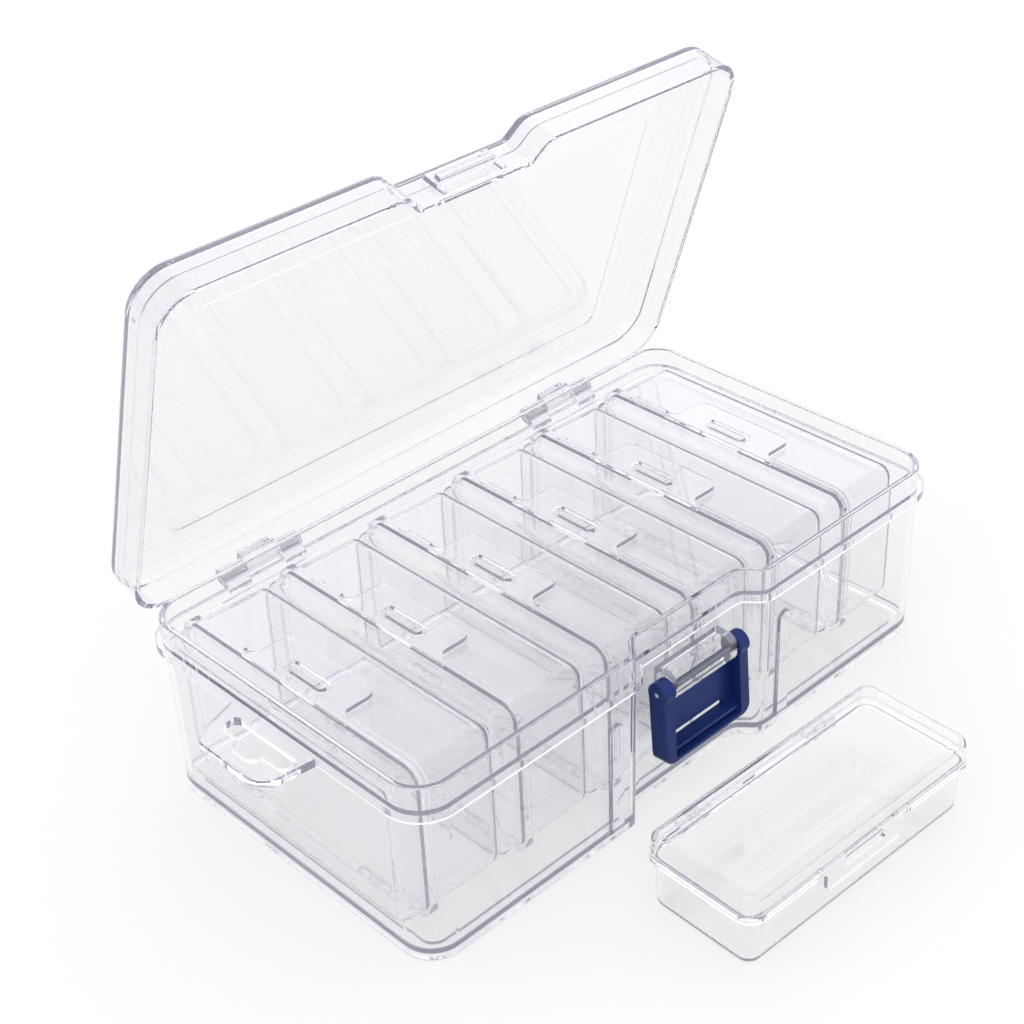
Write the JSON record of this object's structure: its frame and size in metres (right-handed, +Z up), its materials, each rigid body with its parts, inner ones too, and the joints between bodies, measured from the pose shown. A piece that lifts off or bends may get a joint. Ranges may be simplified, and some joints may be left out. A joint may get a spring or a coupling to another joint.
{
  "type": "compartment storage box",
  "caption": "Clear storage case with a hinged lid, a blue swing latch and a hanging tab, holding upright lidded boxes, with a smaller lidded box lying in front.",
  "frame": {"origin": "middle of the case where it stands on the ground", "axes": "+X along the length of the case, -Y towards the latch, +Z up"},
  "size_m": [0.2412, 0.2002, 0.1785],
  "materials": {
    "clear_plastic": "polished clear",
    "blue_plastic": "semi-gloss"
  },
  "bodies": {
    "case": {"case_tub": "clear_plastic", "hinge_pin_left": "clear_plastic", "hinge_pin_right": "clear_plastic", "latch_pin": "clear_plastic"},
    "lid": {"lid_shell": "clear_plastic"},
    "latch": {"latch_lever": "blue_plastic"},
    "box_1": {"box_1_tray": "clear_plastic", "box_1_lid": "clear_plastic"},
    "box_2": {"box_2_tray": "clear_plastic", "box_2_lid": "clear_plastic"},
    "box_3": {"box_3_tray": "clear_plastic", "box_3_lid": "clear_plastic"},
    "box_4": {"box_4_tray": "clear_plastic", "box_4_lid": "clear_plastic"},
    "box_5": {"box_5_tray": "clear_plastic", "box_5_lid": "clear_plastic"},
    "box_6": {"box_6_tray": "clear_plastic", "box_6_lid": "clear_plastic"},
    "loose_box": {"loose_box_tray": "clear_plastic"},
    "loose_box_lid": {"loose_box_lid": "clear_plastic"}
  },
  "joints": [
    {"name": "lid_hinge", "type": "hinge", "parent": "case", "child": "lid", "pos_m": [0, 0.0644, 0.056], "axis": [-1, 0, 0], "range_deg": [-71.8, 38.2]},
    {"name": "latch_pivot", "type": "hinge", "parent": "case", "child": "latch", "pos_m": [0, -0.0584, 0.0422], "axis": [1, 0, 0], "range_deg": [-176, 8]},
    {"name": "box_1_lift", "type": "slide", "parent": "case", "child": "box_1", "axis": [0, 0, 1], "range_m": [0, 0.045]},
    {"name": "box_2_lift", "type": "slide", "parent": "case", "child": "box_2", "axis": [0, 0, 1], "range_m": [0, 0.045]},
    {"name": "box_3_lift", "type": "slide", "parent": "case", "child": "box_3", "axis": [0, 0, 1], "range_m": [0, 0.045]},
    {"name": "box_4_lift", "type": "slide", "parent": "case", "child": "box_4", "axis": [0, 0, 1], "range_m": [0, 0.045]},
    {"name": "box_5_lift", "type": "slide", "parent": "case", "child": "box_5", "axis": [0, 0, 1], "range_m": [0, 0.045]},
    {"name": "box_6_lift", "type": "slide", "parent": "case", "child": "box_6", "axis": [0, 0, 1], "range_m": [0, 0.045]},
    {"name": "loose_box_lift", "type": "slide", "parent": "case", "child": "loose_box", "axis": [0, 0, 1], "range_m": [0, 0.04]},
    {"name": "loose_box_lid_hinge", "type": "hinge", "parent": "loose_box", "child": "loose_box_lid", "pos_m": [-0.00229, -0.08146, 0.0186], "axis": [-0.9996, 0.0279, 0], "range_deg": [0, 94]}
  ]
}
